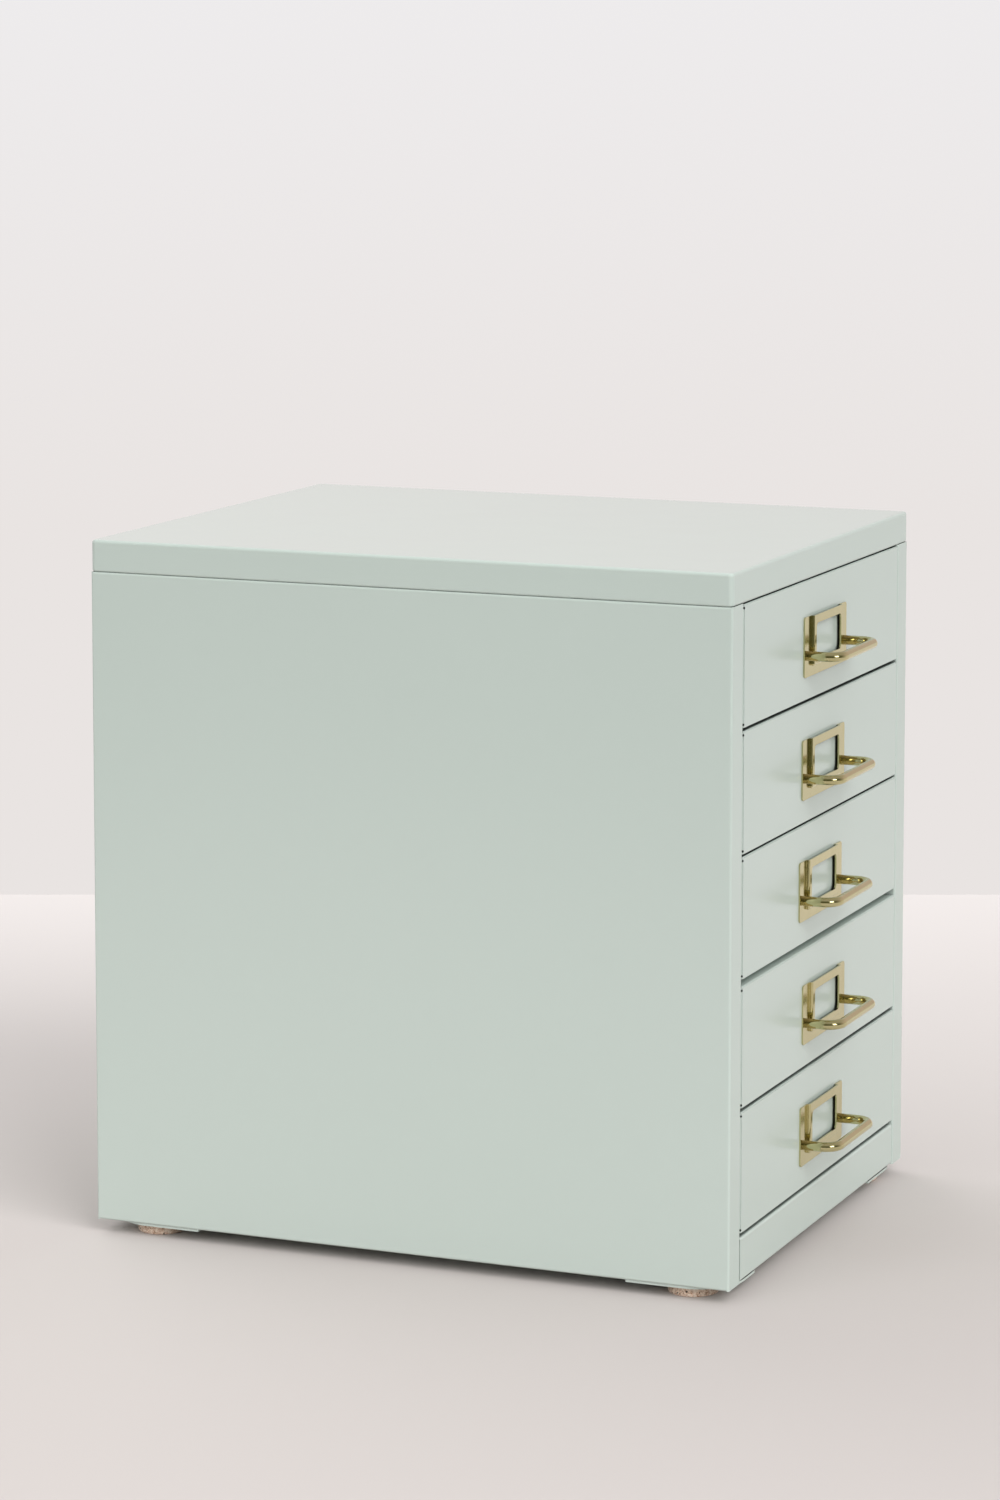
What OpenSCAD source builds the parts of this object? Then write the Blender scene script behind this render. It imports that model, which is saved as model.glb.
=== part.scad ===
// Small desktop cabinet of folded sheet steel with five drawers.
// Millimetres, +Z up, front towards -Y. The origin lies on the floor, under the middle of the
// whole cabinet with its pulls.

/* [Casing] */
// Width over the two side panels
cabinet_w = 280; // [240:5:340]
// Depth from the front posts to the back
cabinet_d = 350; // [300:5:420]
// Thickness of the casing's sheet
sheet_t = 0.8; // [0.6:0.1:1.2]
// Inside radius of the casing's bends
bend_r = 0.4; // [0.3:0.1:1.2]
// Width of each front post
post_w = 16; // [14:0.5:24]
// How far each post's inner edge is folded back into the cabinet
post_return = 12; // [8:1:18]
// Width of the side panels' top, bottom and rear flanges
flange_w = 12; // [11:0.5:13]

/* [Lid] */
// Height of the lid's skirt
lid_h = 16.5; // [12:0.5:30]
// Thickness of the lid's sheet
lid_t = 0.8; // [0.6:0.1:1.2]
// Outside radius of the lid's top edges
lid_edge_r = 1.6; // [1.3:0.1:2.4]
// Outside radius of the lid's upright corners
lid_corner_r = 2.5; // [2:0.1:5]
// Width of the flange turned in under the skirt
lid_return = 12; // [11:1:16]
// Gap between the lid and the top drawer's front
lid_gap = 0.7; // [0.4:0.1:2]

/* [Base] */
// Height of the rail below the bottom drawer
rail_h = 22; // [16:0.5:40]
// Depth of the flange along the rail's top
rail_return = 10; // [6:1:14]
// Gap at the rail's left end
rail_gap_left = 0.3; // [0.3:0.1:2]
// Gap at the rail's right end
rail_gap_right = 2; // [0.3:0.1:3]
// Height of the flange that joins the base to the back
base_flange_h = 14; // [10:1:20]

/* [Feet] */
// Thickness of the corner plates
plate_t = 1.2; // [0.8:0.1:3]
// How far the corner plates stand back from the casing's front and sides
plate_setback = 1; // [0.5:0.1:3]
// How far the rear corner plates stand back from the casing's back
plate_setback_rear = 4; // [0.5:0.5:8]
// Long edge of a corner plate
plate_long = 54; // [50:1:70]
// Short edge of a corner plate
plate_short = 40; // [38:1:54]
// Radius of a corner plate's outer corner
plate_corner_r = 24; // [6:1:25]
// Diameter of the felt pads
pad_d = 26; // [20:1:32]
// Thickness of the felt pads
pad_t = 5.8; // [3:0.2:10]
// Distance of a pad's centre from the outer end of its plate's long edge
pad_inset_long = 24.5; // [18:0.5:34]
// Distance of a pad's centre from the outer end of its plate's short edge
pad_inset_short = 18; // [17:0.5:22]

/* [Drawers] */
// Height of a drawer's front
front_h = 61.4; // [55:0.2:90]
// Nominal gap between two fronts
front_gap = 2.1; // [1.6:0.1:4]
// Gap between a front and each post
front_side_gap = 1; // [0.6:0.1:2]
// Depth of the edges folded back round a front
front_flange = 12; // [8:1:12]
// Thickness of the tray's sheet
tray_t = 0.8; // [0.6:0.1:1.2]
// How far the tray's sides stop below the top of its front
tray_drop = 4; // [3:0.5:20]
// Width of the safety edge folded in along the tray's sides
tray_hem = 5; // [3:0.5:10]
// Free space behind a closed tray
tray_back_gap = 10; // [6:1:30]
// Distance from the tray's back to its stop tabs
tab_setback = 41; // [30:1:120]
// Height of a stop tab
tab_h = 15; // [8:1:20]

/* [Runners] */
// Thickness of the runners' sheet
runner_t = 1; // [0.8:0.1:1.5]
// Height of the leg fixed to the side panel
runner_leg = 17; // [10:1:20]
// How far a runner reaches under the tray
runner_reach = 6; // [4:0.5:15]

/* [Label holders] */
// Width of the stamped plate
holder_w = 67; // [64:1:90]
// Height of the stamped plate
holder_h = 31; // [28:0.5:40]
// Thickness of the plate
holder_t = 0.8; // [0.6:0.1:1]
// Flat border on each side of the pocket
holder_border = 10; // [8:0.5:12]
// How far the pocket stands out of the plate
pocket_step = 1.7; // [1.5:0.1:3]
// Flat strip below the pocket
pocket_sill = 5; // [3:0.5:8]
// Width of the window
window_w = 39.5; // [24:0.5:41]
// Height of the window
window_h = 18.3; // [10:0.1:20]
// Height of the window's lower edge above the plate's
window_sill = 8.5; // [8:0.1:10]
// Radius of the window's corners
window_r = 2.5; // [1:0.1:4.5]
// Height of the plate's lower edge above the front's
holder_sill = 12; // [6:0.5:20]

/* [Pulls] */
// Diameter of the bent rod
rod_d = 5; // [4.6:0.1:6]
// Distance of each leg's middle from the side of the label holder
leg_inset = 3.15; // [2.8:0.05:5]
// How far the pull stands out from the drawer's front
pull_reach = 21; // [18:0.5:35]
// Radius of the rod's bends, at the middle of the rod
pull_bend_r = 8; // [6:0.5:12]
// Height of the legs above the plate's lower edge
pull_rise = 11.2; // [6:0.1:16]

/* [Fasteners] */
// Diameter of the pulls' screws
screw_d = 3; // [2.5:0.5:3]
// Diameter of the lid's screws
lid_screw_d = 4; // [3:0.5:5]
// Distance of the lid's screws from the front and the back
lid_screw_inset = 45; // [30:1:80]
// Diameter of the rivets in the back
rivet_d = 3.2; // [2.4:0.4:4]
// Height of the rivets' heads
rivet_head = 1; // [0.8:0.1:1.6]

/* [Hidden] */
$fn = 48;

// Finishes
paint = [0.76, 0.81, 0.77];
inner_paint = [0.74, 0.79, 0.75];
brass = [0.78, 0.68, 0.42];
felt = [0.74, 0.65, 0.56];
zinc = [0.72, 0.73, 0.74];

// Drawers are counted from the top. A bay's runners are set by hand, so the fronts are not
// spaced quite evenly, and each pull is a little off the middle of its drawer.
drawer_count = 5;
bay_lift = [0, 0.5, 1.4, -0.1, 0];
pull_shift = [0.3, -1.4, -4.4, 2, -0.5];

// Clearances
run_gap = 1;       // between a post's return and the base's side edges
tab_gap = 1.6;     // between a stop tab and the runners
touch_gap = 0.3;   // between a drawer and what it rests on or stops against
fit_gap = 0.2;     // between sheets that slip into each other
screw_gap = 0.2;   // round a screw or rivet in its clearance hole
thread_gap = 0.05; // round a screw in its tapped hole
bend_gap = 0.2;    // between a sheet's edge and the bend of the sheet that it lies in

// Casing
bend_out = bend_r + sheet_t;
open_edge = bend_r - fit_gap + bend_gap; // from a pan's folded sides back to its open corners
inner_w = cabinet_w - 2 * (bend_out + bend_gap);
half_w = cabinet_w / 2;
pitch = front_h + front_gap;
first_front_z = sheet_t + rail_h + front_gap;
side_h = first_front_z + drawer_count * pitch - front_gap + lid_gap;
floor_lift = plate_t + pad_t;
front_y = (pull_reach - cabinet_d - rivet_head) / 2;
back_y = cabinet_d - sheet_t;
relief_d = 1.2;
relief_inset = 1.8;

// Back panel
back_t = sheet_t;
back_flange = 12;
rivet_count = 4;
rivet_head_d = 2 * rivet_d;
rivet_bulb_d = 1.5 * rivet_d;
rivet_bulb_h = 0.6 * rivet_d;
rivet_inset_z = 30;

// Drawers
front_w = cabinet_w - 2 * (post_w + front_side_gap);
tray_w = front_w - 2 * (sheet_t + fit_gap);
tray_front_y = sheet_t;
tray_d = back_y - back_t - tray_back_gap - tray_front_y;
tray_bottom = sheet_t + fit_gap;
tray_top = front_h - tray_drop;
tab_y = tray_front_y + tray_d - tab_setback;
tab_z = tray_bottom + (tray_top - tray_bottom) * 0.35;
tab_reach = half_w - tray_w / 2 - sheet_t - runner_t - tab_gap;
tab_window = 10;

// Runners
runner_top = tray_bottom - touch_gap;
runner_start = max(front_flange, post_return) + touch_gap;
runner_back_gap = 12;
runner_end = back_y - back_t - runner_back_gap;
runner_bend_in = 0.6;
runner_w = half_w - sheet_t - tray_w / 2 + runner_reach;

// Label holder and pull
joggle_in = 0.15;
joggle_out = joggle_in + holder_t;
joggle_w = joggle_in + joggle_out;
joggle_rise = pocket_step - joggle_w;
plateau_w = holder_w - 2 * holder_border - 2 * joggle_w;
plateau_z = pocket_sill + joggle_w;
holder_corner_r = 1.8;
rod_r = rod_d / 2;
pull_span = holder_w - 2 * leg_inset;
bar_y = pull_reach - rod_r;
screw_head_d = 2 * screw_d;
screw_head_h = 0.6 * screw_d;
screw_bite = 5.5;
tap_spare = 0.5;
lid_screw_head_d = 1.9 * lid_screw_d;
lid_screw_head_h = 0.55 * lid_screw_d;
lid_screw_spare = 3;

function bay_z(n) = first_front_z + (drawer_count - n) * pitch + bay_lift[n - 1];
function rivet_z(i) = rivet_inset_z + i * (side_h - 2 * rivet_inset_z) / (rivet_count - 1);
rivet_x = half_w - (bend_out + flange_w) / 2;
lid_screw_x = half_w - (bend_out + flange_w) / 2;

// From the corner of the casing's front and bottom to the floor and the middle of the depth
module placed() {
    translate([0, front_y, floor_lift]) children();
}

// A 2D outline in X and Z, drawn out along +Y
module along_y(length) {
    translate([0, length, 0]) rotate([90, 0, 0]) linear_extrude(length) children();
}

// A 2D outline in Y and Z, drawn out along +X
module along_x(length) {
    rotate([90, 0, 90]) linear_extrude(length) children();
}

// A sheet seen on edge: flat runs joined by right-angle bends. It starts along +X with its
// thickness to the left. A turn of 90 bends it to the left and one of -90 to the right.
module folded_strip(runs, turns, t, inner, i = 0) {
    if (runs[i] > 0) square([runs[i], t]);
    if (i < len(turns)) {
        r = is_list(inner) ? inner[i] : inner;
        left = turns[i] > 0;
        translate([runs[i], left ? r + t : -r]) {
            intersection() {
                difference() {
                    circle(r = r + t);
                    circle(r = r);
                }
                translate([0, left ? -r - t : 0]) square(r + t);
            }
            translate([left ? r + t : r, 0]) rotate(turns[i])
                folded_strip(runs, turns, t, inner, i + 1);
        }
    }
}

// An open pan folded from one sheet, centred in X, with its outside floor at z = 0.
// With a hem, the two long sides are turned in again along the top.
module folded_pan(w, d, h, t, inner, hem = 0) {
    out = inner + t;
    translate([0, open_edge, 0]) along_y(d - 2 * open_edge)
        if (hem > 0)
            translate([hem - w / 2, h]) rotate(180)
                folded_strip([hem - out, h - 2 * out, w - 2 * out, h - 2 * out, hem - out],
                    [90, 90, 90, 90], t, inner);
        else
            translate([-w / 2, h]) rotate(-90)
                folded_strip([h - out, w - 2 * out, h - out], [90, 90], t, inner);
    translate([open_edge - w / 2, 0, 0]) along_x(w - 2 * open_edge)
        translate([0, h]) rotate(-90)
            folded_strip([h - out, d - 2 * out, h - out], [90, 90], t, inner);
}

module rounded_rect(w, h, r) {
    translate([-w / 2, r]) square([w, h - 2 * r]);
    translate([r - w / 2, 0]) square([w - 2 * r, h]);
    for (x = [r - w / 2, w / 2 - r], y = [r, h - r]) translate([x, y]) circle(r = r);
}

module both_sides() {
    children();
    mirror([1, 0, 0]) children();
}

// ---- Casing ----

// Left side panel: outer wall, front post with its return, and the rear, top and bottom flanges
module side_panel() {
    difference() {
        union() {
            translate([0, bend_out, 0]) along_y(cabinet_d - 2 * bend_out)
                translate([flange_w - half_w, side_h]) rotate(180)
                    folded_strip([flange_w - bend_out, side_h - 2 * bend_out, flange_w - bend_out],
                        [90, 90], sheet_t, bend_r);
            linear_extrude(side_h) {
                translate([-half_w, bend_out]) rotate(-90)
                    folded_strip([0, post_w - 2 * bend_out, post_return - bend_out],
                        [90, 90], sheet_t, bend_r);
                translate([flange_w - half_w, cabinet_d]) rotate(180)
                    folded_strip([flange_w - bend_out, 0], [90], sheet_t, bend_r);
            }
        }
        for (y = [lid_screw_inset, cabinet_d - lid_screw_inset])
            translate([-lid_screw_x, y, side_h - 2 * sheet_t])
                cylinder(d = lid_screw_d + 2 * screw_gap, h = 3 * sheet_t);
        for (i = [0 : rivet_count - 1])
            translate([-rivet_x, back_y - 1, rivet_z(i)]) rotate([-90, 0, 0])
                cylinder(d = rivet_d + 2 * thread_gap, h = sheet_t + 2);
    }
}

module left_side() color(paint) placed() side_panel();

module right_side() color(paint) placed() mirror([1, 0, 0]) side_panel();

// Flat back with a stiffening flange along its top, riveted inside the rear flanges
module back_panel() color(paint) placed() {
    top_z = side_h - sheet_t - fit_gap;
    out = bend_r + back_t;
    difference() {
        translate([-inner_w / 2, 0, 0]) along_x(inner_w)
            translate([back_y - back_flange, top_z - back_t])
                folded_strip([back_flange - out, top_z - out - sheet_t - fit_gap], [-90], back_t, bend_r);
        both_sides()
            for (i = [0 : rivet_count - 1])
                translate([rivet_x, back_y - back_t - 1, rivet_z(i)]) rotate([-90, 0, 0])
                    cylinder(d = rivet_d + 2 * thread_gap, h = back_t + 2);
    }
}

// Floor of the casing, with the front rail and a rear flange folded up from it
module base_pan() color(paint) placed() {
    rail_left = rail_gap_left + post_w - half_w;
    rail_right = half_w - post_w - rail_gap_right;
    rear = back_y - back_t;
    top = rail_h + sheet_t;
    wing_front = post_return + run_gap;
    translate([rail_left, 0, 0]) along_x(rail_right - rail_left)
        translate([rail_return, top]) rotate(180)
            folded_strip([rail_return - bend_out, rail_h - 2 * bend_out, rear - 2 * bend_out,
                base_flange_h - bend_out], [90, 90, 90], sheet_t, bend_r);
    translate([-inner_w / 2, 0, 0]) along_x(inner_w)
        translate([wing_front, sheet_t])
            folded_strip([rear - wing_front - bend_out, base_flange_h - bend_out],
                [90], sheet_t, bend_r);
}

// Half section of the lid at one edge, with the outer face at x = 0 and the lower one at y = 0.
// The skirt's lower bend goes all round, and the flange beyond it stops at the corners.
module lid_edge(flange) {
    translate([lid_corner_r, lid_h]) rotate(180)
        folded_strip([lid_corner_r - lid_edge_r, lid_h - lid_edge_r - lid_t - bend_r, flange],
            [90, 90], lid_t, [lid_edge_r - lid_t, bend_r]);
}

// Tray-shaped lid with soft edges, lying on the side panels' top flanges
module lid() color(paint) placed() translate([0, 0, side_h]) {
    r = lid_corner_r;
    flange = lid_return - lid_t - bend_r;
    difference() {
        union() {
            translate([r - half_w, r, lid_h - lid_t])
                cube([cabinet_w - 2 * r, cabinet_d - 2 * r, lid_t]);
            both_sides()
                translate([-half_w, r, 0]) along_y(cabinet_d - 2 * r) lid_edge(flange);
            translate([r - half_w, 0, 0]) along_x(cabinet_w - 2 * r) lid_edge(flange);
            translate([r - half_w, cabinet_d, 0]) mirror([0, 1, 0])
                along_x(cabinet_w - 2 * r) lid_edge(flange);
            both_sides()
                for (rear = [false, true])
                    translate([r - half_w, rear ? cabinet_d - r : r, 0]) rotate(rear ? 90 : 180)
                        rotate_extrude(angle = 90) translate([r, 0]) mirror([1, 0]) lid_edge(0);
        }
        both_sides()
            for (y = [lid_screw_inset, cabinet_d - lid_screw_inset])
                translate([lid_screw_x, y, -1])
                    cylinder(d = lid_screw_d + 2 * thread_gap, h = lid_t + 2);
    }
}

// Pan-head screw pointing up, with its head's seat at z = 0
module pan_screw(d, head_d, head_h, length) {
    slot_w = 0.3 * d;
    difference() {
        translate([0, 0, -head_h]) cylinder(d = head_d, h = head_h);
        translate([-head_d, -slot_w / 2, -head_h - 1]) cube([2 * head_d, slot_w, 1 + head_h / 2]);
    }
    cylinder(d = d, h = length);
}

module lid_screws() color(zinc) placed()
    both_sides()
        for (y = [lid_screw_inset, cabinet_d - lid_screw_inset])
            translate([lid_screw_x, y, side_h - sheet_t])
                pan_screw(lid_screw_d, lid_screw_head_d, lid_screw_head_h,
                    sheet_t + lid_t + lid_screw_spare);

// Blind rivet along +Y: domed head outside, bulb inside
module rivet() {
    rise = rivet_head;
    half = rivet_head_d / 2;
    dome_r = (half * half + rise * rise) / (2 * rise);
    intersection() {
        translate([0, rise - dome_r, 0]) sphere(r = dome_r);
        translate([-half - 1, 0, -half - 1]) cube([rivet_head_d + 2, rise + 1, rivet_head_d + 2]);
    }
    grip = sheet_t + back_t;
    rotate([90, 0, 0]) cylinder(d = rivet_d, h = grip);
    translate([0, -grip, 0]) rotate([90, 0, 0]) cylinder(d = rivet_bulb_d, h = rivet_bulb_h);
}

module back_rivets() color(zinc) placed()
    both_sides()
        for (i = [0 : rivet_count - 1]) translate([rivet_x, cabinet_d, rivet_z(i)]) rivet();

// ---- Feet ----

// Corner plate, with its outer corner at the origin and its edges along +X and +Y
module corner_plate(along_front, along_side) {
    r = plate_corner_r;
    linear_extrude(plate_t) {
        translate([r, 0]) square([along_front - r, along_side]);
        translate([0, r]) square([r, along_side - r]);
        intersection() {
            translate([r, r]) circle(r = r);
            square(r);
        }
    }
}

// Where a corner plate's outer corner lies. The left plates' long edges run along the sides and
// the right ones' along the front and the back.
module at_corner(right, rear, z) {
    translate([0, rear ? cabinet_d : 0, z])
        mirror([right ? 1 : 0, 0, 0]) mirror([0, rear ? 1 : 0, 0])
            translate([plate_setback - half_w, rear ? plate_setback_rear : plate_setback, 0])
                children();
}

module foot_plate(right, rear) color(paint) placed() at_corner(right, rear, -plate_t)
    corner_plate(right ? plate_long : plate_short, right ? plate_short : plate_long);

module foot_plate_front_left() foot_plate(false, false);
module foot_plate_front_right() foot_plate(true, false);
module foot_plate_rear_left() foot_plate(false, true);
module foot_plate_rear_right() foot_plate(true, true);

module felt_pad(right, rear) color(felt) placed() at_corner(right, rear, -floor_lift)
    translate(right ? [pad_inset_long, pad_inset_short] : [pad_inset_short, pad_inset_long])
        cylinder(d = pad_d, h = pad_t);

module felt_pad_front_left() felt_pad(false, false);
module felt_pad_front_right() felt_pad(true, false);
module felt_pad_rear_left() felt_pad(false, true);
module felt_pad_rear_right() felt_pad(true, true);

// ---- Runners ----

// Angle on the left side panel that carries one edge of drawer n
module runner(n) {
    out = runner_bend_in + runner_t;
    translate([0, runner_start, 0]) along_y(runner_end - runner_start)
        translate([sheet_t + runner_w - half_w, bay_z(n) + runner_top]) rotate(180)
            folded_strip([runner_w - out, runner_leg - out], [90], runner_t, runner_bend_in);
}

module runner_left(n) color(zinc) placed() runner(n);
module runner_right(n) color(zinc) placed() mirror([1, 0, 0]) runner(n);

// ---- Drawers ----

// Screw holes of the pull of drawer n, along Y from y0
module pull_holes(n, y0, length, d) {
    for (side = [-1, 1])
        translate([pull_shift[n - 1] + side * pull_span / 2, y0, holder_sill + pull_rise])
            rotate([-90, 0, 0]) cylinder(d = d, h = length);
}

// Front of drawer n: a shallow pan on edge, with a relief hole through each end of its side bends
module drawer_front(n) color(paint) placed() translate([0, 0, bay_z(n)])
    difference() {
        mirror([0, 1, 0]) rotate([90, 0, 0])
            folded_pan(front_w, front_h, front_flange, sheet_t, bend_r);
        for (side = [-1, 1], z = [relief_inset, front_h - relief_inset])
            translate([side * (front_w / 2 - bend_out), bend_out, z])
                rotate([90, 0, side * 45]) cylinder(d = relief_d, h = bend_out + 1);
        pull_holes(n, -1, sheet_t + 2, screw_d + 2 * screw_gap);
    }

// Tray of drawer n, with a lanced tab on each side that meets the post when it is pulled out
module drawer_tray(n) color(inner_paint) placed() translate([0, 0, bay_z(n)]) {
    difference() {
        translate([0, tray_front_y, tray_bottom])
            folded_pan(tray_w, tray_d, tray_top - tray_bottom, tray_t, bend_r, tray_hem);
        both_sides()
            translate([tray_w / 2 - tray_t - 1, tab_y + tray_t, tab_z])
                cube([tray_t + 2, tab_window, tab_h]);
        pull_holes(n, tray_front_y - 1, tray_t + 2, screw_d + 2 * screw_gap);
    }
    both_sides()
        translate([tray_w / 2 - tray_t, tab_y, tab_z]) cube([tray_t + tab_reach, tray_t, tab_h]);
}

// ---- Label holders and pulls ----

// Corner of the pocket: the joggled edge turned round the corner of the raised face
module pocket_corner(start) {
    rotate([90, 0, 0]) rotate(start) rotate_extrude(angle = 90) translate([0, pocket_step])
        folded_strip([0, joggle_rise, joggle_w], [-90, 90], holder_t, joggle_in);
}

// Stamped plate of drawer n, with a raised pocket that is open at the top and has a window
module label_holder(n) color(brass) placed()
    translate([pull_shift[n - 1], 0, bay_z(n) + holder_sill])
        difference() {
            intersection() {
                union() {
                    translate([0, 0, plateau_z]) linear_extrude(holder_h - plateau_z)
                        translate([-holder_w / 2, -holder_t])
                            folded_strip([holder_border, joggle_rise, plateau_w, joggle_rise,
                                holder_border], [-90, 90, 90, -90], holder_t, joggle_in);
                    translate([-plateau_w / 2, 0, 0]) along_x(plateau_w) rotate(90)
                        folded_strip([pocket_sill, joggle_rise, holder_h - plateau_z],
                            [90, -90], holder_t, joggle_in);
                    translate([plateau_w / 2, 0, plateau_z]) pocket_corner(-90);
                    translate([-plateau_w / 2, 0, plateau_z]) pocket_corner(180);
                    for (side = [0, 1]) mirror([side, 0, 0]) {
                        translate([plateau_w / 2, -holder_t, 0])
                            cube([joggle_w + holder_border, holder_t, pocket_sill]);
                        translate([plateau_w / 2 + joggle_w, -holder_t, 0])
                            cube([holder_border, holder_t, plateau_z]);
                    }
                }
                translate([0, 1, 0]) rotate([90, 0, 0])
                    linear_extrude(pocket_step + holder_t + 2)
                        rounded_rect(holder_w, holder_h, holder_corner_r);
            }
            translate([0, 1, window_sill]) rotate([90, 0, 0])
                linear_extrude(pocket_step + holder_t + 2)
                    rounded_rect(window_w, window_h, window_r);
            translate([-pull_shift[n - 1], 0, -holder_sill])
                pull_holes(n, -holder_t - 1, holder_t + 2, screw_d + 2 * screw_gap);
        }

// Bail of drawer n, bent from round rod, with tapped legs that stand on the plate
module pull(n) color(brass) placed()
    translate([pull_shift[n - 1], 0, bay_z(n) + holder_sill + pull_rise])
        difference() {
            union() {
                both_sides() {
                    translate([pull_span / 2, -holder_t, 0]) rotate([90, 0, 0])
                        cylinder(d = rod_d, h = bar_y - pull_bend_r - holder_t);
                    translate([pull_span / 2 - pull_bend_r, pull_bend_r - bar_y, 0]) rotate(-90)
                        rotate_extrude(angle = 90) translate([pull_bend_r, 0]) circle(d = rod_d);
                }
                translate([pull_bend_r - pull_span / 2, -bar_y, 0]) rotate([0, 90, 0])
                    cylinder(d = rod_d, h = pull_span - 2 * pull_bend_r);
            }
            both_sides()
                translate([pull_span / 2, 0, 0]) rotate([90, 0, 0])
                    cylinder(d = screw_d + 2 * thread_gap, h = holder_t + screw_bite + tap_spare);
        }

// The two screws that hold the pull, the label holder and the tray to the front of drawer n
module pull_screws(n) color(zinc) placed()
    for (side = [-1, 1])
        translate([pull_shift[n - 1] + side * pull_span / 2, tray_front_y + tray_t,
            bay_z(n) + holder_sill + pull_rise])
            rotate([90, 0, 0])
                pan_screw(screw_d, screw_head_d, screw_head_h,
                    tray_t + sheet_t + holder_t + screw_bite);

left_side();
right_side();
back_panel();
base_pan();
lid();
lid_screws();
back_rivets();
foot_plate_front_left();
foot_plate_front_right();
foot_plate_rear_left();
foot_plate_rear_right();
felt_pad_front_left();
felt_pad_front_right();
felt_pad_rear_left();
felt_pad_rear_right();
runner_left(1);  // runner_left_1
runner_left(2);  // runner_left_2
runner_left(3);  // runner_left_3
runner_left(4);  // runner_left_4
runner_left(5);  // runner_left_5
runner_right(1);  // runner_right_1
runner_right(2);  // runner_right_2
runner_right(3);  // runner_right_3
runner_right(4);  // runner_right_4
runner_right(5);  // runner_right_5
drawer_front(1);  // drawer_front_1
drawer_front(2);  // drawer_front_2
drawer_front(3);  // drawer_front_3
drawer_front(4);  // drawer_front_4
drawer_front(5);  // drawer_front_5
drawer_tray(1);  // drawer_tray_1
drawer_tray(2);  // drawer_tray_2
drawer_tray(3);  // drawer_tray_3
drawer_tray(4);  // drawer_tray_4
drawer_tray(5);  // drawer_tray_5
label_holder(1);  // label_holder_1
label_holder(2);  // label_holder_2
label_holder(3);  // label_holder_3
label_holder(4);  // label_holder_4
label_holder(5);  // label_holder_5
pull(1);  // pull_1
pull(2);  // pull_2
pull(3);  // pull_3
pull(4);  // pull_4
pull(5);  // pull_5
pull_screws(1);  // pull_screws_1
pull_screws(2);  // pull_screws_2
pull_screws(3);  // pull_screws_3
pull_screws(4);  // pull_screws_4
pull_screws(5);  // pull_screws_5
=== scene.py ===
import math

import bmesh
import bpy
from mathutils import Matrix, Vector, noise


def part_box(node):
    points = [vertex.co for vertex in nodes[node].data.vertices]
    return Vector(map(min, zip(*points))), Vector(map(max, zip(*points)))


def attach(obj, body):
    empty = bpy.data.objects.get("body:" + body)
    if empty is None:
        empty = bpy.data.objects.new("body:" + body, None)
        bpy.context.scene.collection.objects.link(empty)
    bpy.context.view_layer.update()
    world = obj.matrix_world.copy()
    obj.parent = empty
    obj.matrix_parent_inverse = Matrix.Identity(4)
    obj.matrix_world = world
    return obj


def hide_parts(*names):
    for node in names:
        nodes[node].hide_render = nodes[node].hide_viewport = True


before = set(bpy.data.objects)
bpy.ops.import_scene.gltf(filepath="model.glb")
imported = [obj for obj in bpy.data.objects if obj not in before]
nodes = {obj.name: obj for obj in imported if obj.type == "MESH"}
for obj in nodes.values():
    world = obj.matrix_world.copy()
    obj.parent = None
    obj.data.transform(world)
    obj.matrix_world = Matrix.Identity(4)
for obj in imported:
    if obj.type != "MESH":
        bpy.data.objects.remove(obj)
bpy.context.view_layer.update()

mm = 0.001
noiseLow, noiseHigh = 0.3, 0.7  # most of a noise texture's values lie between these
print("frame loaded,", len(nodes), "nodes")


def linear(hexColour):  # sRGB hex to the linear colour that sockets take
    parts = [int(hexColour[i:i + 2], 16) / 255 for i in (1, 3, 5)]
    return [c / 12.92 if c <= 0.04045 else ((c + 0.055) / 1.055) ** 2.4 for c in parts] + [1]


def addNode(tree, kind, settings=None, links=None):
    node = tree.nodes.new(kind)
    for name, value in (settings or {}).items():
        if isinstance(name, int) or name in node.inputs:
            node.inputs[name].default_value = value
        else:
            setattr(node, name, value)
    for name, source in (links or {}).items():
        tree.links.new(source, node.inputs[name])
    return node


def newMaterial(name):  # an empty tree with its output, and the object's own coordinates
    material = bpy.data.materials.new(name)
    material.use_nodes = True
    tree = material.node_tree
    tree.nodes.clear()
    output = addNode(tree, "ShaderNodeOutputMaterial")
    place = addNode(tree, "ShaderNodeTexCoord").outputs["Object"]
    return material, tree, output, place


def dress(names, material):  # CAD nodes keep their mesh and get a finish
    for name in names:
        for slot in nodes[name].material_slots:
            slot.material = material


def named(*starts):
    return [name for name in nodes if name.startswith(starts)]


def newPiece(name, bm, material, smooth=True):  # a mesh object at the origin
    mesh = bpy.data.meshes.new(name)
    bm.to_mesh(mesh)
    bm.free()
    mesh.materials.append(material)
    if smooth:
        mesh.shade_smooth()
    piece = bpy.data.objects.new(name, mesh)
    bpy.context.collection.objects.link(piece)
    return piece


# Polyester powder coat, sprayed and baked on steel: an even satin film with a faint orange
# peel, a little thinner and glossier in places, with shade painted into the narrow seams.
powderCoat = {
    "colour": "#C4D0C9",
    "colourThin": "#C5D1CA",
    "roughness": (0.215, 0.235),
    "ior": 1.5,
    "peel": 1.8 * mm,     # spacing of the orange peel
    "peelHeight": 0.004 * mm,
    "grain": 0.5 * mm,    # really 0.1 mm, drawn coarser so that it shows
    "grainHeight": 0.0015 * mm,
    "cloud": 90 * mm,     # size of the soft changes in the film
    "colourSeamShade": "#4A504B",  # shade painted into narrow seams, which the lamps leave too pale
    "seamReach": 5 * mm,  # how near another surface has to be
    "seamDepth": 0.2,     # openness at which the shade is complete
    "seamEdge": 0.5,      # and at which it begins
}


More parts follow.
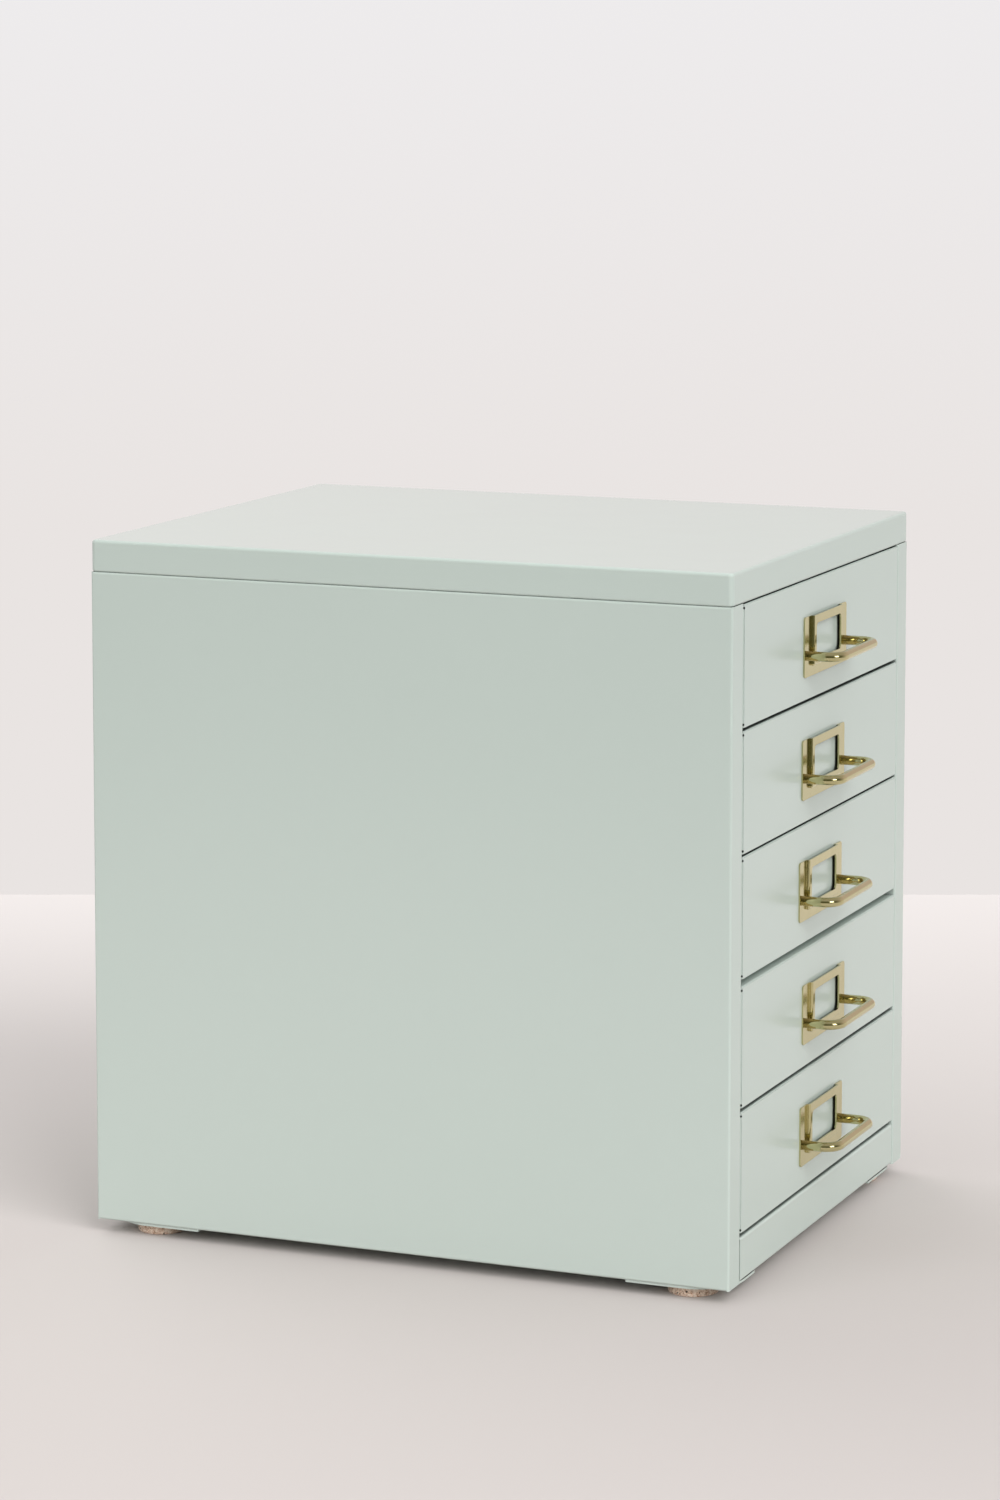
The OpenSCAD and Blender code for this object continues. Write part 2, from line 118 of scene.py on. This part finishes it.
def makePowderCoat(name, s):
    material, tree, output, place = newMaterial(name)
    cloud = addNode(tree, "ShaderNodeTexNoise", {"Scale": 1 / s["cloud"], "Detail": 3}, {"Vector": place})
    tint = addNode(tree, "ShaderNodeMix", {"data_type": "RGBA", 6: linear(s["colour"]),
                   7: linear(s["colourThin"])}, {0: cloud.outputs["Fac"]})
    rough = addNode(tree, "ShaderNodeMapRange", {"From Min": noiseLow, "From Max": noiseHigh,
                    "To Min": s["roughness"][0], "To Max": s["roughness"][1]},
                    {"Value": cloud.outputs["Fac"]})
    peel = addNode(tree, "ShaderNodeTexNoise", {"Scale": 1 / s["peel"], "Detail": 1}, {"Vector": place})
    grain = addNode(tree, "ShaderNodeTexNoise", {"Scale": 1 / s["grain"], "Detail": 2}, {"Vector": place})
    peelBump = addNode(tree, "ShaderNodeBump", {"Strength": 1, "Distance": s["peelHeight"]},
                       {"Height": peel.outputs["Fac"]})
    grainBump = addNode(tree, "ShaderNodeBump", {"Strength": 1, "Distance": s["grainHeight"]},
                        {"Height": grain.outputs["Fac"], "Normal": peelBump.outputs["Normal"]})
    # painted shade: the paint colour turns dark where another surface lies within seamReach
    openness = addNode(tree, "ShaderNodeAmbientOcclusion", {"samples": 8, "Distance": s["seamReach"]})
    outsidePaintedShade = addNode(tree, "ShaderNodeMapRange", {"From Min": s["seamDepth"], "From Max": s["seamEdge"]},
                      {"Value": openness.outputs["AO"]})
    tintWithPaintedShade = addNode(tree, "ShaderNodeMix", {"data_type": "RGBA", 6: linear(s["colourSeamShade"])},
                   {0: outsidePaintedShade.outputs[0], 7: tint.outputs[2]})
    shader = addNode(tree, "ShaderNodeBsdfPrincipled", {"IOR": s["ior"]},
                     {"Base Color": tintWithPaintedShade.outputs[2], "Roughness": rough.outputs[0],
                      "Normal": grainBump.outputs["Normal"]})
    tree.links.new(shader.outputs[0], output.inputs["Surface"])
    return material


# Brass plating on polished steel: clear soft reflections, pale and slightly green,
# with fine rubbing marks.
brassPlate = {
    "colour": "#D0C899",
    "colourDull": "#C5BD8D",
    "roughness": (0.1, 0.16),
    "marks": 0.35 * mm,   # spacing of the rubbing marks
    "markHeight": 0.0008 * mm,
    "markStretch": (0.3, 1, 1),  # the marks run along the drawer's width
    "cloud": 7 * mm,      # size of the duller patches
}


def makeBrass(name, s):
    material, tree, output, place = newMaterial(name)
    cloud = addNode(tree, "ShaderNodeTexNoise", {"Scale": 1 / s["cloud"], "Detail": 4}, {"Vector": place})
    tint = addNode(tree, "ShaderNodeMix", {"data_type": "RGBA", 6: linear(s["colour"]),
                   7: linear(s["colourDull"])}, {0: cloud.outputs["Fac"]})
    rough = addNode(tree, "ShaderNodeMapRange", {"From Min": noiseLow, "From Max": noiseHigh,
                    "To Min": s["roughness"][0], "To Max": s["roughness"][1]},
                    {"Value": cloud.outputs["Fac"]})
    stretch = addNode(tree, "ShaderNodeMapping", {"Scale": s["markStretch"]}, {"Vector": place})
    marks = addNode(tree, "ShaderNodeTexNoise", {"Scale": 1 / s["marks"], "Detail": 2},
                    {"Vector": stretch.outputs[0]})
    bump = addNode(tree, "ShaderNodeBump", {"Strength": 1, "Distance": s["markHeight"]},
                   {"Height": marks.outputs["Fac"]})
    shader = addNode(tree, "ShaderNodeBsdfPrincipled", {"Metallic": 1},
                     {"Base Color": tint.outputs[2], "Roughness": rough.outputs[0],
                      "Normal": bump.outputs["Normal"]})
    tree.links.new(shader.outputs[0], output.inputs["Surface"])
    return material


# Bright zinc plating, straight from the bath: pale grey and softly mirrored, with a fine
# crystal bloom.
zincPlate = {
    "colour": "#C6C9CC",
    "colourDull": "#AEB3B8",
    "roughness": (0.29, 0.42),
    "bloom": 2.5 * mm,    # size of the crystals
}


def makeZinc(name, s):
    material, tree, output, place = newMaterial(name)
    bloom = addNode(tree, "ShaderNodeTexVoronoi", {"Scale": 1 / s["bloom"]}, {"Vector": place})
    tint = addNode(tree, "ShaderNodeMix", {"data_type": "RGBA", 6: linear(s["colour"]),
                   7: linear(s["colourDull"])}, {0: bloom.outputs["Distance"]})
    rough = addNode(tree, "ShaderNodeMapRange", {"To Min": s["roughness"][0], "To Max": s["roughness"][1]},
                    {"Value": bloom.outputs["Distance"]})
    shader = addNode(tree, "ShaderNodeBsdfPrincipled", {"Metallic": 1},
                     {"Base Color": tint.outputs[2], "Roughness": rough.outputs[0]})
    tree.links.new(shader.outputs[0], output.inputs["Surface"])
    return material


# Pressed wool felt, made of mixed fibres: matt and slightly fuzzy, pale brown with light and
# a few dark flecks.
woolFelt = {
    "colour": "#EFD3BD",
    "colourPale": "#FAE9D8",
    "colourDark": "#A47A5C",
    "colourFleck": "#3E332C",
    "fibre": 0.8 * mm,    # really about 0.03 mm, drawn coarser so that it shows
    "fibreShades": (0.36, 0.6),  # noise values at which the fibres are dark and plain
    "clump": 1.5 * mm,    # size of the pale tufts
    "clumpShades": (0.4, 0.7),   # noise values from which and up to which they get paler
    "fleck": 4.2 * mm,    # spacing of the dark flecks
    "fleckRagged": 0.4,   # how much the fibres break up a fleck's outline
    "fleckEdge": (0.3, 0.36),
    "fibreHeight": 0.2 * mm,
}


def makeFelt(name, s):
    material, tree, output, place = newMaterial(name)
    fibre = addNode(tree, "ShaderNodeTexNoise", {"Scale": 1 / s["fibre"], "Detail": 3, "Distortion": 0.4},
                    {"Vector": place})
    clump = addNode(tree, "ShaderNodeTexNoise", {"Scale": 1 / s["clump"], "Detail": 3}, {"Vector": place})
    ramp = addNode(tree, "ShaderNodeValToRGB", {}, {"Fac": fibre.outputs["Fac"]})
    shades = zip(ramp.color_ramp.elements, s["fibreShades"], (s["colourDark"], s["colour"]))
    for stop, position, colour in shades:
        stop.position = position
        stop.color = linear(colour)
    paleness = addNode(tree, "ShaderNodeMapRange", {"From Min": s["clumpShades"][0],
                       "From Max": s["clumpShades"][1]}, {"Value": clump.outputs["Fac"]})
    mixed = addNode(tree, "ShaderNodeMix", {"data_type": "RGBA", 7: linear(s["colourPale"])},
                    {0: paleness.outputs[0], 6: ramp.outputs[0]})
    fleck = addNode(tree, "ShaderNodeTexVoronoi", {"Scale": 1 / s["fleck"]}, {"Vector": place})
    ragged = addNode(tree, "ShaderNodeMath", {"operation": "MULTIPLY_ADD", 1: s["fleckRagged"]},
                     {0: fibre.outputs["Fac"], 2: fleck.outputs["Distance"]})
    fleckMask = addNode(tree, "ShaderNodeMapRange", {"From Min": s["fleckEdge"][0],
                        "From Max": s["fleckEdge"][1], "To Min": 1, "To Max": 0},
                        {"Value": ragged.outputs[0]})
    tint = addNode(tree, "ShaderNodeMix", {"data_type": "RGBA", 7: linear(s["colourFleck"])},
                   {0: fleckMask.outputs[0], 6: mixed.outputs[2]})
    bump = addNode(tree, "ShaderNodeBump", {"Strength": 1, "Distance": s["fibreHeight"]},
                   {"Height": fibre.outputs["Fac"]})
    shader = addNode(tree, "ShaderNodeBsdfPrincipled",
                     {"Roughness": 1, "Sheen Weight": 0.3, "Specular IOR Level": 0.2},
                     {"Base Color": tint.outputs[2], "Normal": bump.outputs["Normal"]})
    tree.links.new(shader.outputs[0], output.inputs["Surface"])
    return material


paintFinish = makePowderCoat("powder-coated steel", powderCoat)
brassFinish = makeBrass("brass-plated steel", brassPlate)
zincFinish = makeZinc("zinc-plated steel", zincPlate)
feltFinish = makeFelt("pressed wool felt", woolFelt)

painted = named("left_side", "right_side", "back_panel", "base_pan", "lid", "foot_plate", "drawer_")
dress(painted, paintFinish)
dress(named("label_holder", "pull_"), brassFinish)
dress(named("runner", "lid_screws", "back_rivets", "pull_screws"), zincFinish)
dress(named("felt_pad"), feltFinish)
print("finishes on the CAD nodes")


pull = {
    "rod": 5 * mm,
    "bend": 8 * mm,       # radius at the middle of the rod
    "bore": 3.1 * mm,     # tapped hole in the end of each leg
    "boreDepth": 6 * mm,
    "around": 40,         # faces round the rod
    "bendSteps": 14,
}


def makePull(number, s):  # a rod run out from the plate, round two bends and back
    low, high = (Vector(v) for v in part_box(f"pull_{number}"))
    radius = s["rod"] / 2
    middle = (low + high) / 2
    plateY, barY = high.y, low.y + radius
    leg = plateY - (barY + s["bend"])
    bar = (high.x - low.x) - s["rod"] - 2 * s["bend"]
    bm = bmesh.new()
    bmesh.ops.create_circle(bm, segments=s["around"], radius=radius)
    bmesh.ops.rotate(bm, matrix=Matrix.Rotation(math.radians(90), 3, "X"), verts=bm.verts)
    start = Vector((low.x + radius, plateY, middle.z))
    bmesh.ops.translate(bm, vec=start, verts=bm.verts)
    rim = list(bm.edges)

    def run(edges, step):
        out = bmesh.ops.extrude_edge_only(bm, edges=edges)["geom"]
        bmesh.ops.translate(bm, vec=step, verts=[v for v in out if isinstance(v, bmesh.types.BMVert)])
        return [e for e in out if isinstance(e, bmesh.types.BMEdge)]

    def turn(edges, centre):
        out = bmesh.ops.spin(bm, geom=edges, cent=centre, axis=(0, 0, 1), angle=math.radians(90),
                             steps=s["bendSteps"], use_merge=False)["geom_last"]
        return [e for e in out if isinstance(e, bmesh.types.BMEdge)]

    edge = run(rim, Vector((0, -leg, 0)))
    edge = turn(edge, start + Vector((s["bend"], -leg, 0)))
    edge = run(edge, Vector((bar, 0, 0)))
    edge = turn(edge, start + Vector((s["bend"] + bar, -leg, 0)))
    edge = run(edge, Vector((0, leg, 0)))
    for end in (rim, edge):
        face = bmesh.ops.contextual_create(bm, geom=end)["faces"]
        bmesh.ops.inset_region(bm, faces=face, thickness=radius - s["bore"] / 2, use_even_offset=True)
        hole = bmesh.ops.extrude_discrete_faces(bm, faces=face)["faces"]
        bmesh.ops.translate(bm, vec=(0, -s["boreDepth"], 0), verts=hole[0].verts)
    bmesh.ops.recalc_face_normals(bm, faces=bm.faces)
    piece = newPiece(f"bent_pull_{number}", bm, brassFinish)
    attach(piece, f"drawer_{number}")
    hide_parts(f"pull_{number}")


for number in range(1, 6):
    makePull(number, pull)
print("bent pulls")


feltPad = {
    "around": 72,         # faces round the disc
    "layers": 6,          # cuts across its height
    "edge": 0.7 * mm,     # rounding of the cut edge
    "edgeSteps": 3,
    "fuzz": 0.22 * mm,    # unevenness of the pressed surface
    "fuzzSize": 1.6 * mm,
}


def makeFeltPad(corner, s):  # a punched disc, pressed a little out of true
    low, high = (Vector(v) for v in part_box(f"felt_pad_{corner}"))
    radius = (high.x - low.x) / 2 - s["fuzz"]
    height = high.z - low.z
    bm = bmesh.new()
    bmesh.ops.create_cone(bm, cap_ends=True, segments=s["around"], radius1=radius, radius2=radius,
                          depth=height)
    rims = [e for e in bm.edges if abs(e.verts[0].co.z - e.verts[1].co.z) < height / 2]
    bmesh.ops.bevel(bm, geom=rims, offset=s["edge"], affect="EDGES", segments=s["edgeSteps"],
                    profile=0.5, material=-1)
    uprights = [e for e in bm.edges if abs(e.verts[0].co.z - e.verts[1].co.z) > height / 2]
    bmesh.ops.subdivide_edges(bm, edges=uprights, cuts=s["layers"], use_grid_fill=True)
    bmesh.ops.translate(bm, vec=(low + high) / 2, verts=bm.verts)
    bm.normal_update()
    shifts = [(v, v.normal.copy(), noise.noise(v.co / s["fuzzSize"])) for v in bm.verts
              if low.z + s["edge"] / 2 < v.co.z < high.z - s["edge"] / 2]
    for v, normal, amount in shifts:
        v.co += Vector((normal.x, normal.y, 0)) * amount * s["fuzz"]
    piece = newPiece(f"cut_pad_{corner}", bm, feltFinish)
    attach(piece, "casing")
    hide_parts(f"felt_pad_{corner}")


for corner in ("front_left", "front_right", "rear_left", "rear_right"):
    makeFeltPad(corner, feltPad)
print("felt pads")


# Heights are the Z of a direction: 0 at the horizon, 1 overhead.
stage = {
    "floorNear": "#CDC6C3",
    "floorFar": "#E9E3E1",
    "floorTurn": -0.1,    # metres behind the middle where the floor begins to get paler
    "wallBehind": 0.82,   # and where it ends
    "floorHalfWidth": 1.1,
    "floorInFront": 1.0,
    "wallLow": "#E9E4E2",
    "wallHigh": "#EEECED",
    "wallHeights": (-0.12, 0),
    "upperRight": "#D5C6C7",  # the wall above eye level is brighter towards its left
    "upperLeft": "#F6E5E6",
    "upperHeights": (0.03, 0.09),
    "upperSpread": 0.2,
    "roomColour": "#64654E",  # the unlit half of the room, as polished metal shows it
    "roomTurn": (0.25, -0.45),  # how far round from the wall it begins and is complete
    "ceilingColour": "#B4B0AC",
    "ceilingHeights": (0.4, 0.8),
    "sky": "#FFFFFF",
    "skyBase": 0.1,       # height below which the air light is at its lowest
    "skyLow": 0.05,       # strength of the air light there
    "skyHigh": 1.0,       # and overhead
}
camera = {
    "place": Vector((-2224.2, -907.9, 657.1)) * mm,
    "yaw": math.radians(22.544),
    "pitch": math.radians(6.560),
    "lens": 110.37,
    "shift": -0.17,
}
lamps = {
    "window": {"place": (-1.25, -2.2, 1.05), "aim": (0, 0, 0.2), "size": (0.9, 1.1), "power": 14,
               "lights": False, "mirrored": True},
    "key light": {"place": (-2.8, -4.3, 3.4), "aim": (0, 0, 0.2), "size": (5, 4), "power": 285,
                  "lights": True, "mirrored": False},
    "fill light": {"place": (-2.6, 0.9, 1.2), "aim": (0, 0, 0.2), "size": (1.8, 1.4), "power": 18,
                   "lights": True, "mirrored": False},
    "far light": {"place": (1.7, 2.6, 2.2), "aim": (0, 0, 0.1), "size": (3, 2.5), "power": 40,
                  "lights": True, "mirrored": False},
}


def makeFloor(s, yaw):
    bm = bmesh.new()
    bmesh.ops.create_grid(bm, x_segments=1, y_segments=1, size=1)
    long = s["floorInFront"] + s["wallBehind"]
    bmesh.ops.scale(bm, vec=(long / 2, s["floorHalfWidth"], 1), verts=bm.verts)
    bmesh.ops.translate(bm, vec=(s["wallBehind"] - long / 2, 0, 0), verts=bm.verts)
    bmesh.ops.rotate(bm, matrix=Matrix.Rotation(yaw, 3, "Z"), verts=bm.verts)
    material, tree, output, place = newMaterial("pale painted floor")
    along = addNode(tree, "ShaderNodeVectorMath",
                    {"operation": "DOT_PRODUCT", 1: (math.cos(yaw), math.sin(yaw), 0)}, {0: place})
    far = addNode(tree, "ShaderNodeMapRange", {"From Min": s["floorTurn"], "From Max": s["wallBehind"]},
                  {"Value": along.outputs["Value"]})
    tint = addNode(tree, "ShaderNodeMix", {"data_type": "RGBA", 6: linear(s["floorNear"]),
                   7: linear(s["floorFar"])}, {0: far.outputs[0]})
    shader = addNode(tree, "ShaderNodeBsdfPrincipled", {"Roughness": 0.85, "Specular IOR Level": 0.15},
                     {"Base Color": tint.outputs[2]})
    tree.links.new(shader.outputs[0], output.inputs["Surface"])
    newPiece("floor", bm, material, smooth=False)


def makeWorld(s, yaw):  # a pale wall on the cabinet's far side, and soft light from overhead
    world = bpy.data.worlds.new("studio")
    bpy.context.scene.world = world
    world.use_nodes = True
    tree = world.node_tree
    tree.nodes.clear()
    way = addNode(tree, "ShaderNodeTexCoord").outputs["Generated"]
    height = addNode(tree, "ShaderNodeSeparateXYZ", {}, {0: way}).outputs["Z"]
    along = addNode(tree, "ShaderNodeVectorMath",
                    {"operation": "DOT_PRODUCT", 1: (math.cos(yaw), math.sin(yaw), 0)}, {0: way})
    across = addNode(tree, "ShaderNodeVectorMath",
                     {"operation": "DOT_PRODUCT", 1: (-math.sin(yaw), math.cos(yaw), 0)}, {0: way})
    # the wall, low to high
    rise = addNode(tree, "ShaderNodeMapRange", {"From Min": s["wallHeights"][0],
                   "From Max": s["wallHeights"][1]}, {"Value": height})
    wall = addNode(tree, "ShaderNodeMix", {"data_type": "RGBA", 6: linear(s["wallLow"]),
                   7: linear(s["wallHigh"])}, {0: rise.outputs[0]})
    upperRise = addNode(tree, "ShaderNodeMapRange", {"From Min": s["upperHeights"][0],
                        "From Max": s["upperHeights"][1]}, {"Value": height})
    leftward = addNode(tree, "ShaderNodeMapRange", {"From Min": -s["upperSpread"],
                       "From Max": s["upperSpread"]}, {"Value": across.outputs["Value"]})
    upper = addNode(tree, "ShaderNodeMix", {"data_type": "RGBA", 6: linear(s["upperRight"]),
                    7: linear(s["upperLeft"])}, {0: leftward.outputs[0]})
    whole = addNode(tree, "ShaderNodeMix", {"data_type": "RGBA"},
                    {0: upperRise.outputs[0], 6: wall.outputs[2], 7: upper.outputs[2]})
    # the rest of the room
    behind = addNode(tree, "ShaderNodeMapRange", {"From Min": s["roomTurn"][0],
                     "From Max": s["roomTurn"][1]}, {"Value": along.outputs["Value"]})
    walls = addNode(tree, "ShaderNodeMix", {"data_type": "RGBA", 7: linear(s["roomColour"])},
                    {0: behind.outputs[0], 6: whole.outputs[2]})
    above = addNode(tree, "ShaderNodeMapRange", {"From Min": s["ceilingHeights"][0],
                    "From Max": s["ceilingHeights"][1]}, {"Value": height})
    room = addNode(tree, "ShaderNodeMix", {"data_type": "RGBA", 7: linear(s["ceilingColour"])},
                   {0: above.outputs[0], 6: walls.outputs[2]})
    # the camera sees the wall all round, mirrors see the room, and the rest gets the air light
    path = addNode(tree, "ShaderNodeLightPath").outputs
    seen = addNode(tree, "ShaderNodeMath", {"operation": "MAXIMUM"},
                   {0: path["Is Camera Ray"], 1: path["Is Glossy Ray"]})
    seenAll = addNode(tree, "ShaderNodeMath", {"operation": "MAXIMUM"},
                      {0: seen.outputs[0], 1: path["Is Transmission Ray"]})
    shown = addNode(tree, "ShaderNodeMix", {"data_type": "RGBA"},
                    {0: path["Is Camera Ray"], 6: room.outputs[2], 7: wall.outputs[2]})
    view = addNode(tree, "ShaderNodeBackground", {"Strength": 1}, {"Color": shown.outputs[2]})
    strength = addNode(tree, "ShaderNodeMapRange", {"From Min": s["skyBase"], "To Min": s["skyLow"],
                       "To Max": s["skyHigh"]}, {"Value": height})
    air = addNode(tree, "ShaderNodeBackground", {"Color": linear(s["sky"])},
                  {"Strength": strength.outputs[0]})
    both = addNode(tree, "ShaderNodeMixShader", {},
                   {0: seenAll.outputs[0], 1: air.outputs[0], 2: view.outputs[0]})
    output = addNode(tree, "ShaderNodeOutputWorld")
    tree.links.new(both.outputs[0], output.inputs["Surface"])


def addLamp(name, s):  # a soft box turned to what it lights
    lamp = bpy.data.lights.new(name, "AREA")
    lamp.shape = "RECTANGLE"
    lamp.size, lamp.size_y = s["size"]
    lamp.energy = s["power"]
    holder = bpy.data.objects.new(name, lamp)
    bpy.context.collection.objects.link(holder)
    holder.location = s["place"]
    holder.rotation_euler = (Vector(s["aim"]) - Vector(s["place"])).to_track_quat("-Z", "Y").to_euler()
    holder.visible_camera = False
    holder.visible_diffuse = s["lights"]
    holder.visible_glossy = s["mirrored"]


def makeCamera(s):
    data = bpy.data.cameras.new("camera")
    data.lens = s["lens"]
    data.shift_y = s["shift"]
    holder = bpy.data.objects.new("camera", data)
    bpy.context.collection.objects.link(holder)
    level = math.cos(s["pitch"])
    look = Vector((math.cos(s["yaw"]) * level, math.sin(s["yaw"]) * level, -math.sin(s["pitch"])))
    holder.location = s["place"]
    holder.rotation_euler = look.to_track_quat("-Z", "Y").to_euler()
    bpy.context.scene.camera = holder


makeCamera(camera)
makeFloor(stage, camera["yaw"])
makeWorld(stage, camera["yaw"])
for name, lamp in lamps.items():
    addLamp(name, lamp)
bpy.context.scene.view_settings.view_transform = "Standard"
print("stage, light and camera")
